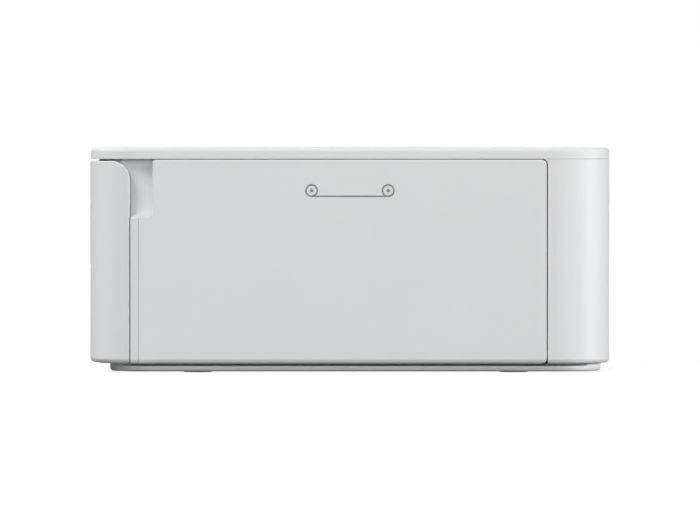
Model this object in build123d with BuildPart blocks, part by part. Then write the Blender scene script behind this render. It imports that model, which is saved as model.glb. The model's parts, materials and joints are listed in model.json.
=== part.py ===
"""Compact dye-sublimation photo printer, closed for storage.

Frame: +Z up, -Y is the front (paper side), +X is the ink cassette side, origin on the
table under the middle of the body.  Millimetres.
"""
from build123d import *
import math
import os

os.makedirs("parts", exist_ok=True)

# ---------------------------------------------------------------- driving dimensions
W, D, H = 182.0, 133.0, 57.6          # overall width, depth, height
RF, RR = 12.0, 14.0                   # plan radii of the front and rear corners
Z_BASE = 0.36                         # underside of the base pan, feet stand proud of it
Z_STRIP = 1.80                        # top of the visible base strip
Z_FLOOR = 2.30                        # inside floor of the base pan
Z_BODY = 2.40                         # lower edge of the body shell
Z_BODY_TOP = 54.54                    # upper edge of the body shell
Z_LID = 54.58                         # lower edge of the top cover
Z_PLATE = 55.40                       # underside of the top cover's plate
T_WALL = 2.2                          # body wall
T_COVER = 1.95                        # front cover wall
Y_WING = -56.10                       # rear edge of the front cover's side wings
Y_STRIP = (-55.92, -53.91)            # narrow body strip between wing and ink door
DOOR_Y = (-53.85, 50.18)              # ink door, front and rear edges
DOOR_X = (88.50, 91.00)               # ink door, inner and outer faces
DOOR_Z = (2.40, 54.44)
DOOR_GAP = 0.22                       # gap along the ink door's rear edge
NOTCH_Y, NOTCH_Z = -50.25, 39.80      # finger recess, its rear edge and its lip
DOOR_AXIS = (88.90, 4.70)             # ink door hinge, X and Z
HINGE = (-89.00, -56.40)              # front cover hinge, X and Y
R_BARREL = 2.0
R_PIN = 1.0
XL, XR = (-65.2, -64.0), (60.0, 61.2)  # chassis side plates
PLATEN = (4.0, 16.0)                  # Y, Z of the shafts that run across
CAPSTAN = (38.0, 19.7)
PINCH = (38.0, 26.4)
PICKUP = (-33.0, 26.0)
HEAD_PIVOT = (46.0, 47.0)
HEAD_LIFT = 5.5                       # degrees the print head is raised at rest
SUPPLY, TAKEUP = (-14.0, 35.0), (22.0, 35.0)
GEAR_M = 0.6                          # gear module
REDUCER = (23.6, 15.5)                # compound gear axis
Z_PINION, Z_BIG, Z_SMALL, Z_CAPSTAN, Z_RIBBON = 14, 40, 14, 36, 30
FEED_MOTOR = (REDUCER[0] - 16.2 * 0.96150, REDUCER[1] + 16.2 * 0.27480)
RIBBON_MOTOR = (TAKEUP[0] + 13.2 * 0.8, TAKEUP[1] + 13.2 * 0.6)
PLANE_A = (-73.5, -71.0)              # outer gear plane
PLANE_B = (-70.0, -67.0)              # inner gear plane
LEVER = (72.0, -38.0)                 # eject lever pivot, X and Y
POSTS = [(-79.0, -49.0), (-80.0, 55.0), (74.0, 55.0), (74.0, -54.0)]
FEET = [(x, y) for x in (-74.0, 74.0) for y in (-39.0, 41.9)]
LCD = (-28.0, 2.0)                    # centre of the display
PAD = (54.0, 12.0)                    # centre of the arrow pad


# ---------------------------------------------------------------- small helpers
def block(x0, x1, y0, y1, z0, z1, mode=Mode.ADD):
    """A box between six planes, in the active part."""
    with Locations(((x0 + x1) / 2, (y0 + y1) / 2, (z0 + z1) / 2)):
        Box(abs(x1 - x0), abs(y1 - y0), abs(z1 - z0), mode=mode)


def rod_x(x0, x1, y, z, r, mode=Mode.ADD):
    with Locations(Location(((x0 + x1) / 2, y, z), (0, 90, 0))):
        Cylinder(r, abs(x1 - x0), mode=mode)


def rod_y(x, y0, y1, z, r, mode=Mode.ADD):
    with Locations(Location((x, (y0 + y1) / 2, z), (90, 0, 0))):
        Cylinder(r, abs(y1 - y0), mode=mode)


def rod_z(x, y, z0, z1, r, mode=Mode.ADD):
    with Locations((x, y, (z0 + z1) / 2)):
        Cylinder(r, abs(z1 - z0), mode=mode)


def plan(inset, z, x_half=W / 2, y0=-D / 2, y1=D / 2, rf=RF, rr=RR):
    """The plan outline of the body, moved inwards by inset, as a sketch at height z."""
    with BuildSketch(Plane.XY.offset(z)) as s:
        with Locations((0, (y0 + y1) / 2)):
            Rectangle(2 * (x_half - inset), (y1 - y0) - 2 * inset)
        fillet(s.vertices().group_by(Axis.Y)[0], radius=rf - inset)
        fillet(s.vertices().group_by(Axis.Y)[-1], radius=rr - inset)
    return s.sketch


def save(builder, name):
    part = builder.part
    part.label = name
    export_step(part, f"parts/{name}.step")
    print(name, len(part.solids()), round(part.volume))


def gear_outline(teeth, cy, cz, phase, thin=0.11, add=0.85, ded=1.2):
    """Involute spur gear outline in the YZ plane; phase is the angle of one tooth's middle."""
    r = GEAR_M * teeth / 2
    rb, ra, rd = r * math.cos(math.radians(20)), r + add * GEAR_M, r - ded * GEAR_M
    inv = lambda a: math.tan(a) - a
    half = (math.pi * GEAR_M / 2 - thin) / (2 * r) + inv(math.radians(20))

    def psi(rho):
        return half - (inv(math.acos(rb / rho)) if rho > rb else 0.0)

    radii = [rd, max(rb, rd + 0.01), (max(rb, rd) + r) / 2 + 0.02, r, (r + ra) / 2, ra]
    radii = sorted(set(round(x, 5) for x in radii if x <= ra))
    pts = []
    for k in range(teeth):
        mid = phase + 2 * math.pi * k / teeth
        for rho in radii:
            pts.append((rho, mid - psi(rho)))
        for rho in reversed(radii):
            pts.append((rho, mid + psi(rho)))
    return [(cy + rho * math.cos(a), cz + rho * math.sin(a)) for rho, a in pts]


def mesh_phase(c1, z1, phase1, c2, z2):
    """Phase of gear 2 so that it is in mesh with gear 1."""
    a = math.atan2(c2[1] - c1[1], c2[0] - c1[0])
    p1, p2 = 2 * math.pi / z1, 2 * math.pi / z2
    d1 = ((a - phase1) % p1) / p1
    return a + math.pi - (0.5 - d1) * p2


def gear_body(teeth, centre, phase, x0, x1, mode=Mode.ADD):
    with BuildSketch(Plane.YZ.offset(x0)) as g:
        with BuildLine():
            Polyline(*gear_outline(teeth, centre[0], centre[1], phase), close=True)
        make_face()
    extrude(g.sketch, amount=x1 - x0, mode=mode)


# ---------------------------------------------------------------- outer casing
# Body shell: rear, left and right-rear walls, the inner front wall behind the front cover,
# the narrow strip and finger pocket at the right-front corner.
with BuildPart() as body_shell:
    extrude(plan(0, Z_BODY), amount=Z_BODY_TOP - Z_BODY)
    # outer lower edge is softened all round
    fillet(body_shell.faces().sort_by(Axis.Z)[0].edges(), radius=1.3)
    extrude(plan(T_WALL, Z_BODY - 1), amount=60, mode=Mode.SUBTRACT)
    block(-100, 100, -80, Y_STRIP[0], 0, 60, mode=Mode.SUBTRACT)
with BuildPart() as front_wall:
    extrude(plan(T_COVER + 0.4, Z_BODY), amount=Z_BODY_TOP - Z_BODY)
    extrude(plan(T_COVER + 2.4, Z_BODY - 1), amount=60, mode=Mode.SUBTRACT)
    block(-100, 100, -54.2, 80, 0, 60, mode=Mode.SUBTRACT)
with BuildPart() as corner_blocks:
    # left column that carries the front cover's hinge, and the right strip with its pocket
    extrude(plan(T_COVER + 0.4, Z_BODY), amount=Z_BODY_TOP - Z_BODY)
    block(-84.3, 84.3, -80, 80, 0, 60, mode=Mode.SUBTRACT)
    block(-100, 100, -52.0, 80, 0, 60, mode=Mode.SUBTRACT)
    block(0, 100, -80, -61.0, 0, 60, mode=Mode.SUBTRACT)
    block(-100, 0, -80, -60.5, 0, 60, mode=Mode.SUBTRACT)
    block(0, 100, -54.2, -52.0, 0, 37.6, mode=Mode.SUBTRACT)
with BuildPart() as strip:
    extrude(plan(0, Z_BODY), amount=Z_BODY_TOP - Z_BODY)
    fillet(strip.faces().sort_by(Axis.Z)[0].edges(), radius=1.3)
    block(-100, 85.0, -80, 80, 0, 60, mode=Mode.SUBTRACT)
    block(80, 100, -80, Y_STRIP[0], 0, 60, mode=Mode.SUBTRACT)
    block(80, 100, Y_STRIP[1], 80, 0, 60, mode=Mode.SUBTRACT)
# Finger pocket: shallow, with a ramp that runs out behind its lower lip.
with BuildPart() as finger_scoop:
    with BuildSketch(Plane.XZ.offset(50.05)) as hollow:
        with BuildLine():
            Line((93.0, NOTCH_Z - 0.4), (91.0, NOTCH_Z - 0.4))
            RadiusArc((91.0, NOTCH_Z - 0.4), (90.6, NOTCH_Z), -0.4)
            Line((90.6, NOTCH_Z), (90.2, NOTCH_Z))
            Spline((90.2, NOTCH_Z), (89.6, 40.2), (89.1, 40.9), (88.75, 41.9), (88.52, 43.5), (88.34, 46.5), (88.16, 50.0), (87.9, 55.0))
            Polyline((87.9, 55.0), (87.9, 61.0), (93.0, 61.0), (93.0, NOTCH_Z - 0.4))
        make_face()
    extrude(hollow.sketch, amount=12)
# Rounded upper rear corner of the ink door's opening.
with BuildPart() as opening_corner:
    with BuildSketch(Plane.YZ.offset(88.7)) as corner:
        yc, zc = DOOR_Y[1] - 1.4, DOOR_Z[1] - 1.4
        with Locations(((yc + DOOR_Y[1] + 0.4) / 2, (zc + Z_BODY_TOP) / 2)):
            Rectangle(DOOR_Y[1] + 0.4 - yc, Z_BODY_TOP - zc)
        with Locations((yc, zc)):
            Circle(1.4 + DOOR_GAP, mode=Mode.SUBTRACT)
    extrude(corner.sketch, amount=2.3)
with BuildPart() as body:
    add(body_shell.part)
    add(front_wall.part)
    add(corner_blocks.part)
    # the left wall starts behind the hinge and is joined to the hinge column
    block(-92, -88.35, -80, -54.1, 0, 60, mode=Mode.SUBTRACT)
    block(-89.5, -84.5, -54.1, -51.0, Z_BODY, Z_BODY_TOP)
    # ink door opening: the right wall goes between strip and rear corner
    block(85.5, 92, Y_STRIP[1], DOOR_Y[1] + DOOR_GAP, 0, 60, mode=Mode.SUBTRACT)
    add(opening_corner.part)
    add(strip.part)
    # back plate of the finger pocket, its filling behind the ink door's lip, and the pocket itself
    block(84.3, 88.3, -57.0, -49.2, 37.6, Z_BODY_TOP)
    block(86.0, 90.05, Y_STRIP[0], NOTCH_Y + 0.15, NOTCH_Z - 0.5, Z_BODY_TOP)
    add(finger_scoop.part, mode=Mode.SUBTRACT)
    # paper cassette slot in the inner front wall
    block(-58.5, 58.5, -70, -60, 5.2, 37.0, mode=Mode.SUBTRACT)
    # front cover hinge seat and its two lugs
    rod_z(HINGE[0], HINGE[1], 0, 60, R_BARREL + 0.35, mode=Mode.SUBTRACT)
    for z0, z1 in ((Z_BODY + 0.2, 5.0), (51.6, 54.0)):
        rod_z(HINGE[0], HINGE[1], z0, z1, R_BARREL)
        block(-89.0, -85.6, -57.6, -55.2, z0, z1)
        rod_z(HINGE[0], HINGE[1], z0 - 1, z1 + 1, R_PIN, mode=Mode.SUBTRACT)
    # ink door hinge pin seats
    rod_y(DOOR_AXIS[0], -57.0, -53.8, DOOR_AXIS[1], R_PIN - 0.1, mode=Mode.SUBTRACT)
    block(86.4, 90.0, 50.70, 56.5, 2.6, 7.4)
    rod_y(DOOR_AXIS[0], 50.0, 54.5, DOOR_AXIS[1], R_PIN - 0.1, mode=Mode.SUBTRACT)
    # rear panel pocket, paper slot, vents, battery port and DC hole
    block(-78.4, 78.4, D / 2 - 1.2, 70, 5.1, 41.2, mode=Mode.SUBTRACT)
    block(-54, 54, 60, 70, 20.0, 28.5, mode=Mode.SUBTRACT)
    for k in range(12):
        block(-68 + 3.2 * k, -66.6 + 3.2 * k, 60, 70, 31.0, 38.5, mode=Mode.SUBTRACT)
        block(32 + 3.2 * k, 33.4 + 3.2 * k, 60, 70, 31.0, 38.5, mode=Mode.SUBTRACT)
    block(-20, 20, 60, 70, 7.6, 16.4, mode=Mode.SUBTRACT)
    rod_y(-72.0, 60, 70, 13.5, 3.1, mode=Mode.SUBTRACT)
    # memory card slot and USB-C port in the left wall
    block(-92, -88, -30.2, -5.0, 22.35, 24.65, mode=Mode.SUBTRACT)
    block(-92, -88, -43.0, -34.0, 21.6, 24.8, mode=Mode.SUBTRACT)
save(body, "body_shell")

# Base pan with its feet recesses, bosses and lift plate lugs.
BASE_PLAN = dict(x_half=88.0, y0=-61.4, y1=64.3, rf=10.0, rr=12.0)
with BuildPart() as base_tray:
    extrude(plan(0, Z_BASE, **BASE_PLAN), amount=Z_FLOOR - Z_BASE)
    fillet(base_tray.faces().sort_by(Axis.Z)[0].edges(), radius=0.9)
    block(84.6, 92, -70, 70, Z_STRIP, 3, mode=Mode.SUBTRACT)
    for x, y in POSTS:
        rod_z(x, y, Z_FLOOR - 0.1, 4.3, 4.4)
    for x in (-68.4, 64.4):
        for y in (-25.0, 50.0):
            rod_z(x, y, Z_FLOOR - 0.1, 4.0, 3.0)
    for y in (-38.0, -10.0):
        rod_z(-78.0, y, Z_FLOOR - 0.1, 19.8, 2.2)
    for x in (-52.0, 50.0):
        for y in (20.0, 55.0):
            rod_z(x, y, Z_FLOOR - 0.1, 5.0, 2.4)
    for s in (-1, 1):
        block(s * 41.0, s * 43.6, -58.2, -54.0, Z_FLOOR - 0.1, 5.9)
    for y in range(-46, 12, 14):
        block(-56, 56, y, y + 1.0, Z_FLOOR - 0.1, 2.9)
    for x, y in FEET:
        with BuildSketch(Plane.XY.offset(0)) as f:
            with Locations((x, y)):
                SlotOverall(14.4, 7.4)
        extrude(f.sketch, amount=1.2, mode=Mode.SUBTRACT)
    for x, y in POSTS:
        rod_z(x, y, 0, 2.5, 2.7, mode=Mode.SUBTRACT)
        rod_z(x, y, 0, 6, 1.4, mode=Mode.SUBTRACT)
    for x in (-68.4, 64.4):
        for y in (-25.0, 50.0):
            rod_z(x, y, 1.4, 6, 1.25, mode=Mode.SUBTRACT)
    for s in (-1, 1):
        rod_x(s * 40.5, s * 44.0, -56.0, 3.9, 1.06, mode=Mode.SUBTRACT)
save(base_tray, "base_tray")

with BuildPart() as rubber_feet:
    for x, y in FEET:
        with BuildSketch(Plane.XY) as f:
            with Locations((x, y)):
                SlotOverall(14.1, 7.2)
        extrude(f.sketch, amount=1.2)
    chamfer(rubber_feet.faces().group_by(Axis.Z)[0].edges(), length=0.05)
save(rubber_feet, "rubber_feet")

# Top cover: a thick plate with a short skirt, a locating rib and four long screw posts.
KEYS_ROUND = {"power_key": (72.0, 42.0, 3.6), "ok_key": (PAD[0], PAD[1], 6.0),
              "copies_minus_key": (38.0, -14.5, 4.2), "copies_plus_key": (70.0, -14.5, 4.2),
              "back_key": (37.0, -34.5, 4.6), "print_key": (63.0, -34.5, 8.6)}
KEYS_PILL = {"menu_key": (35.0, 42.0, 10.0, 5.4), "edit_key": (50.0, 42.0, 10.0, 5.4)}
ARROWS = {"right_key": 0.0, "up_key": 90.0, "left_key": 180.0, "down_key": 270.0}
GAP = 0.22                            # gap round each key


def arrow_face(angle, z, r0, r1, gap):
    """One quarter of the arrow pad: a ring sector, its sides gap away from the diagonals."""
    with BuildSketch(Plane.XY.offset(z)) as s:
        with Locations(PAD):
            Circle(r1)
            Circle(r0, mode=Mode.SUBTRACT)
        with BuildLine():
            a, a0, a1 = (math.radians(angle + d) for d in (0, -45, 45))
            ox = PAD[0] + gap * math.sqrt(2) * math.cos(a)
            oy = PAD[1] + gap * math.sqrt(2) * math.sin(a)
            Polyline((ox, oy), (ox + 40 * math.cos(a0), oy + 40 * math.sin(a0)),
                     (ox + 40 * math.cos(a1), oy + 40 * math.sin(a1)), close=True)
        make_face(mode=Mode.INTERSECT)
    return s.sketch


with BuildPart() as top_cover:
    extrude(plan(0, Z_LID, y0=-D / 2 + 0.2, rf=RF - 0.2), amount=H - Z_LID)
    fillet(top_cover.faces().sort_by(Axis.Z)[-1].edges(), radius=1.2)
    # skirt: hollow under the plate
    extrude(plan(2.6, Z_LID - 1), amount=Z_PLATE - Z_LID + 1, mode=Mode.SUBTRACT)
    # locating rib just inside the body walls
    with BuildSketch(Plane.XY.offset(52.6)) as rib:
        with Locations((-0.7, 1.2)):
            Rectangle(174.6, 124.2)
        fillet(rib.vertices(), radius=9)
        with Locations((-0.7, 1.2)):
            Rectangle(171.6, 121.2, mode=Mode.SUBTRACT)
    extrude(rib.sketch, amount=Z_PLATE - 52.6 + 0.1)
    block(80.0, 88.2, -60, 60, 50, Z_PLATE, mode=Mode.SUBTRACT)
    block(-88.3, -84.2, -62, -51, 50, Z_PLATE, mode=Mode.SUBTRACT)
    # rib close behind the upper edge of the ink door
    block(86.7, 88.1, -49.0, 50.0, 52.9, Z_PLATE + 0.1)
    for x, y in POSTS:
        rod_z(x, y, 4.4, Z_PLATE + 0.1, 3.2)
        rod_z(x, y, 3, 16.0, 1.1, mode=Mode.SUBTRACT)
    # display window: through opening and the ledge that the glass sits on
    with BuildSketch(Plane.XY.offset(Z_PLATE - 0.5)) as lcd_hole:
        with Locations(LCD):
            RectangleRounded(92, 62, 1)
    extrude(lcd_hole.sketch, amount=5, mode=Mode.SUBTRACT)
    with BuildSketch(Plane.XY.offset(56.15)) as lcd_ledge:
        with Locations(LCD):
            RectangleRounded(98, 68, 5)
    extrude(lcd_ledge.sketch, amount=5, mode=Mode.SUBTRACT)
    for x, y, r in KEYS_ROUND.values():
        rod_z(x, y, 54, 60, r + GAP, mode=Mode.SUBTRACT)
    for x, y, a, b in KEYS_PILL.values():
        with BuildSketch(Plane.XY.offset(54)) as ph:
            with Locations((x, y)):
                SlotOverall(a + 2 * GAP, b + 2 * GAP)
        extrude(ph.sketch, amount=6, mode=Mode.SUBTRACT)
    with BuildSketch(Plane.XY.offset(54)) as ring_hole:
        with Locations(PAD):
            Circle(17.0 + GAP)
            Circle(6.0 + GAP + 0.95, mode=Mode.SUBTRACT)
    extrude(ring_hole.sketch, amount=6, mode=Mode.SUBTRACT)
    # four spokes keep the ring round the OK key joined to the plate
    for ang in (45, 135, 225, 315):
        with BuildSketch(Plane.XY.offset(Z_PLATE)) as spoke:
            with Locations(Location((PAD[0], PAD[1], 0), (0, 0, ang))):
                with Locations((12.2, 0)):
                    Rectangle(11.0, 1.1)
        extrude(spoke.sketch, amount=H - Z_PLATE - 0.05)
save(top_cover, "top_cover")

with BuildPart() as lcd_window:
    with BuildSketch(Plane.XY.offset(56.2)) as g:
        with Locations(LCD):
            RectangleRounded(97.7, 67.7, 4.85)
    extrude(g.sketch, amount=1.32)
    chamfer(lcd_window.faces().sort_by(Axis.Z)[-1].edges(), length=0.2)
save(lcd_window, "lcd_window")

with BuildPart() as lcd_module:
    block(LCD[0] - 47.5, LCD[0] + 47.5, LCD[1] - 33.5, LCD[1] + 33.5, 52.4, 55.3)
    block(LCD[0] - 45.5, LCD[0] + 45.5, LCD[1] - 30.5, LCD[1] + 30.5, 55.3, 56.1)
    # bent metal tabs at the back corners
    for s in (-1, 1):
        block(LCD[0] + s * 47.5, LCD[0] + s * 49.0, LCD[1] - 20, LCD[1] + 20, 52.4, 53.4)
save(lcd_module, "lcd_module")

# Keys: cap through the plate, wider flange under it, 0.5 mm of travel.
Z_KEY, Z_FLANGE = 57.50, (54.45, 55.25)


def save_key(name, cap, flange):
    with BuildPart() as key:
        extrude(cap, amount=Z_KEY - Z_FLANGE[0])
        fillet(key.faces().sort_by(Axis.Z)[-1].edges(), radius=0.25)
        extrude(flange, amount=Z_FLANGE[1] - Z_FLANGE[0])
    save(key, name)


for name, (x, y, r) in KEYS_ROUND.items():
    with BuildSketch(Plane.XY.offset(Z_FLANGE[0])) as cap:
        with Locations((x, y)):
            Circle(r)
    with BuildSketch(Plane.XY.offset(Z_FLANGE[0])) as flange:
        with Locations((x, y)):
            Circle(r + 0.8)
    save_key(name, cap.sketch, flange.sketch)
for name, (x, y, a, b) in KEYS_PILL.items():
    with BuildSketch(Plane.XY.offset(Z_FLANGE[0])) as cap:
        with Locations((x, y)):
            SlotOverall(a, b)
    with BuildSketch(Plane.XY.offset(Z_FLANGE[0])) as flange:
        with Locations((x, y)):
            SlotOverall(a + 1.6, b + 1.6)
    save_key(name, cap.sketch, flange.sketch)
for name, angle in ARROWS.items():
    cap = arrow_face(angle, Z_FLANGE[0], 7.45, 17.0, 0.80)
    with BuildSketch(Plane.XY.offset(Z_FLANGE[0])) as flange:
        with Locations((PAD[0] + 13.5 * math.cos(math.radians(angle)), PAD[1] + 13.5 * math.sin(math.radians(angle)))):
            Rectangle(9.0 if angle % 180 == 0 else 12.0, 12.0 if angle % 180 == 0 else 9.0)
    save_key(name, cap, flange.sketch)

with BuildPart() as control_board:
    block(27.5, 79.0, -47.0, 49.0, 51.9, 53.2)
    spots = [(x, y) for x, y, _ in KEYS_ROUND.values()] + [(x, y) for x, y, _, _ in KEYS_PILL.values()]
    spots += [(PAD[0] + 13.0 * math.cos(math.radians(a)), PAD[1] + 13.0 * math.sin(math.radians(a))) for a in ARROWS.values()]
    for x, y in spots:
        block(x - 1.6, x + 1.6, y - 1.6, y + 1.6, 53.2, 53.85)
    block(29.0, 33.0, -8.0, 8.0, 53.2, 54.4)
save(control_board, "control_board")

# Front cover: wraps both front corners, hinged on the left.
Z_COVER = (2.60, 54.05)


def on_rim(edge):
    """True for an edge of the front cover's outer skin along its top or at a wing's end."""
    c = edge.center()
    if abs(c.Y + D / 2) < 0.01:
        return abs(c.Z - Z_COVER[1]) < 0.01
    points = [edge.position_at(t) for t in (0.02, 0.5, 0.98)]
    centre = (W / 2 - RF, -D / 2 + RF)
    return c.Z > 10 and all(abs(math.hypot(abs(p.X) - centre[0], p.Y - centre[1]) - RF) < 0.01 for p in points)


with BuildPart() as front_cover:
    extrude(plan(0, Z_COVER[0]), amount=Z_COVER[1] - Z_COVER[0])
    fillet(front_cover.faces().sort_by(Axis.Z)[0].edges(), radius=1.3)
    extrude(plan(T_COVER, Z_COVER[0] - 1), amount=60, mode=Mode.SUBTRACT)
    block(-100, 100, Y_WING, 80, 0, 60, mode=Mode.SUBTRACT)
    # the right wing's upper rear corner is rounded, its lower one slightly
    with BuildSketch(Plane.YZ.offset(86.0)) as top_round:
        with BuildLine():
            Line((Y_WING + 1, Z_COVER[1] + 1), (Y_WING + 1, Z_COVER[1] - 4.6))
            Line((Y_WING + 1, Z_COVER[1] - 4.6), (Y_WING, Z_COVER[1] - 4.6))
            RadiusArc((Y_WING, Z_COVER[1] - 4.6), (Y_WING - 4.6, Z_COVER[1]), -4.6)
            Line((Y_WING - 4.6, Z_COVER[1]), (Y_WING - 4.6, Z_COVER[1] + 1))
            Line((Y_WING - 4.6, Z_COVER[1] + 1), (Y_WING + 1, Z_COVER[1] + 1))
        make_face()
    extrude(top_round.sketch, amount=8, mode=Mode.SUBTRACT)
    with BuildSketch(Plane.YZ.offset(86.0)) as low_round:
        with BuildLine():
            Line((Y_WING + 1, Z_COVER[0] - 1), (Y_WING + 1, Z_COVER[0] + 0.8))
            Line((Y_WING + 1, Z_COVER[0] + 0.8), (Y_WING, Z_COVER[0] + 0.8))
            RadiusArc((Y_WING, Z_COVER[0] + 0.8), (Y_WING - 0.8, Z_COVER[0]), 0.8)
            Line((Y_WING - 0.8, Z_COVER[0]), (Y_WING - 0.8, Z_COVER[0] - 1))
            Line((Y_WING - 0.8, Z_COVER[0] - 1), (Y_WING + 1, Z_COVER[0] - 1))
        make_face()
    extrude(low_round.sketch, amount=8, mode=Mode.SUBTRACT)
    # the upper edge and the wings' rear edges are softened
    fillet([e for e in front_cover.edges() if on_rim(e)], radius=0.32)
    # hinge barrel on the left wing, cleared round the body's lugs
    rod_z(HINGE[0], HINGE[1], 5.25, 51.35, R_BARREL)
    rod_z(HINGE[0], HINGE[1], 0, 5.25, R_BARREL + 0.3, mode=Mode.SUBTRACT)
    rod_z(HINGE[0], HINGE[1], 51.35, 60, R_BARREL + 0.3, mode=Mode.SUBTRACT)
    rod_z(HINGE[0], HINGE[1], 0, 60, R_PIN + 0.05, mode=Mode.SUBTRACT)
save(front_cover, "front_cover")

# Ink door: flat panel with a notch for the finger recess and a bead along its hinge edge.
with BuildPart() as ink_door:
    with BuildSketch(Plane.YZ.offset(DOOR_X[0])) as face:
        with BuildLine():
            y0, y1, z0, z1 = DOOR_Y[0], DOOR_Y[1], DOOR_Z[0], DOOR_Z[1]
            Line((y0, z0), (y1, z0))
            Line((y1, z0), (y1, z1 - 1.4))
            RadiusArc((y1, z1 - 1.4), (y1 - 1.4, z1), -1.4)
            Line((y1 - 1.4, z1), (NOTCH_Y + 0.8, z1))
            RadiusArc((NOTCH_Y + 0.8, z1), (NOTCH_Y, z1 - 0.8), -0.8)
            Line((NOTCH_Y, z1 - 0.8), (NOTCH_Y, NOTCH_Z + 1.5))
            RadiusArc((NOTCH_Y, NOTCH_Z + 1.5), (NOTCH_Y - 1.5, NOTCH_Z), 1.5)
            Line((NOTCH_Y - 1.5, NOTCH_Z), (y0, NOTCH_Z))
            Line((y0, NOTCH_Z), (y0, z0))
        make_face()
    extrude(face.sketch, amount=DOOR_X[1] - DOOR_X[0])
    outline = ink_door.faces().sort_by(Axis.X)[-1].outer_wire().edges()
    fillet([e for e in outline if e.center().Z > DOOR_Z[0] + 0.01 and e.center().Y > y0 + 0.01], radius=0.35)
    # rebate behind the lip of the finger recess
    block(87.0, 90.2, -60.0, NOTCH_Y + 0.25, NOTCH_Z - 0.6, 60.0, mode=Mode.SUBTRACT)
    block(87.0, 89.0, DOOR_Y[0], DOOR_Y[1], DOOR_Z[0], 7.0)
    low = ink_door.edges().filter_by(Axis.Y).group_by(Axis.Z)[0]
    fillet(low.sort_by(Axis.X)[-1], radius=1.3)
    low = ink_door.edges().filter_by(Axis.Y).group_by(Axis.Z)[0]
    fillet(low.sort_by(Axis.X)[0], radius=0.8)
    # inner ribs and two snap hooks at the top
    for y in (-36.0, -6.0, 24.0, 44.0):
        block(87.3, 88.6, y - 0.6, y + 0.6, 7.0, 49.0)
    block(87.3, 88.6, -36.0, 44.0, 26.0, 27.2)
    for y in (-30.0, 30.0):
        block(85.0, 88.6, y - 2.0, y + 2.0, 50.9, 52.0)
        block(85.0, 86.0, y - 2.0, y + 2.0, 50.3, 52.0)
    rod_y(DOOR_AXIS[0], -60, -49.5, DOOR_AXIS[1], R_PIN - 0.05, mode=Mode.SUBTRACT)
    rod_y(DOOR_AXIS[0], 45.5, 60, DOOR_AXIS[1], R_PIN - 0.05, mode=Mode.SUBTRACT)
    # shallow pictogram of two spools and the ribbon between them
    with BuildSketch(Plane.YZ.offset(DOOR_X[1])) as mark:
        with Locations((-9.75, 46.5), (9.75, 46.5)):
            Circle(1.65)
            Circle(1.25, mode=Mode.SUBTRACT)
            Circle(0.45)
        with Locations((0, 46.5 - 1.475)):
            Rectangle(19.5, 0.35)
    extrude(mark.sketch, amount=-0.25, mode=Mode.SUBTRACT)
save(ink_door, "ink_door")

# Acetal pins of both hinges, fixed in the body.
with BuildPart() as door_hinge_pins:
    rod_z(HINGE[0], HINGE[1], 2.7, 9.5, R_PIN)
    rod_z(HINGE[0], HINGE[1], 47.5, 53.9, R_PIN)
    rod_y(DOOR_AXIS[0], -55.8, -50.0, DOOR_AXIS[1], R_PIN - 0.1)
    rod_y(DOOR_AXIS[0], 46.0, 54.3, DOOR_AXIS[1], R_PIN - 0.1)
save(door_hinge_pins, "door_hinge_pins")

# Rear panel: thin plate in a shallow pocket, with vents, paper slot and ports.
with BuildPart() as rear_panel:
    block(-78.2, 78.2, D / 2 - 1.2, D / 2 - 0.25, 5.3, 41.0)
    fillet(rear_panel.edges().filter_by(Axis.Y), radius=2.0)
    block(-53.5, 53.5, 60, 70, 20.5, 28.0, mode=Mode.SUBTRACT)
    for k in range(12):
        block(-67.9 + 3.2 * k, -66.7 + 3.2 * k, 60, 70, 31.2, 38.3, mode=Mode.SUBTRACT)
        block(32.1 + 3.2 * k, 33.3 + 3.2 * k, 60, 70, 31.2, 38.3, mode=Mode.SUBTRACT)
    block(-19.6, 19.6, 60, 70, 8.0, 16.0, mode=Mode.SUBTRACT)
    rod_y(-72.0, 60, 70, 13.5, 2.9, mode=Mode.SUBTRACT)
save(rear_panel, "rear_panel")

with BuildPart() as battery_port_cover:
    block(-19.35, 19.35, 64.4, D / 2 - 0.3, 8.25, 15.75)
    fillet(battery_port_cover.edges().filter_by(Axis.Y), radius=1.2)
    block(-15.5, 15.5, D / 2 - 1.1, D / 2, 9.6, 10.6, mode=Mode.SUBTRACT)
save(battery_port_cover, "battery_port_cover")

# ---------------------------------------------------------------- chassis
with BuildPart() as chassis_left_plate:
    block(*XL, -37.0, 58.0, 4.0, 49.8)
    fillet(chassis_left_plate.edges().filter_by(Axis.X), radius=4.0)
    for y in (-25.0, 50.0):
        block(-71.4, XL[1], y - 5, y + 5, 4.0, 5.2)
        rod_z(-68.4, y, 3, 7, 1.5, mode=Mode.SUBTRACT)
    for c, r in ((PLATEN, 4.0), (CAPSTAN, 4.0), (PINCH, 1.56), (PICKUP, 2.05), (HEAD_PIVOT, 1.5), (TAKEUP, 2.05), (REDUCER, 1.5)):
        rod_x(-68, -60, c[0], c[1], r, mode=Mode.SUBTRACT)
    with BuildSketch(Plane.YZ.offset(XL[0] - 1)) as lite:
        with Locations((-14, 12), (-16, 46)):
            SlotOverall(16, 5)
    extrude(lite.sketch, amount=4, mode=Mode.SUBTRACT)
save(chassis_left_plate, "chassis_left_plate")

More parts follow.
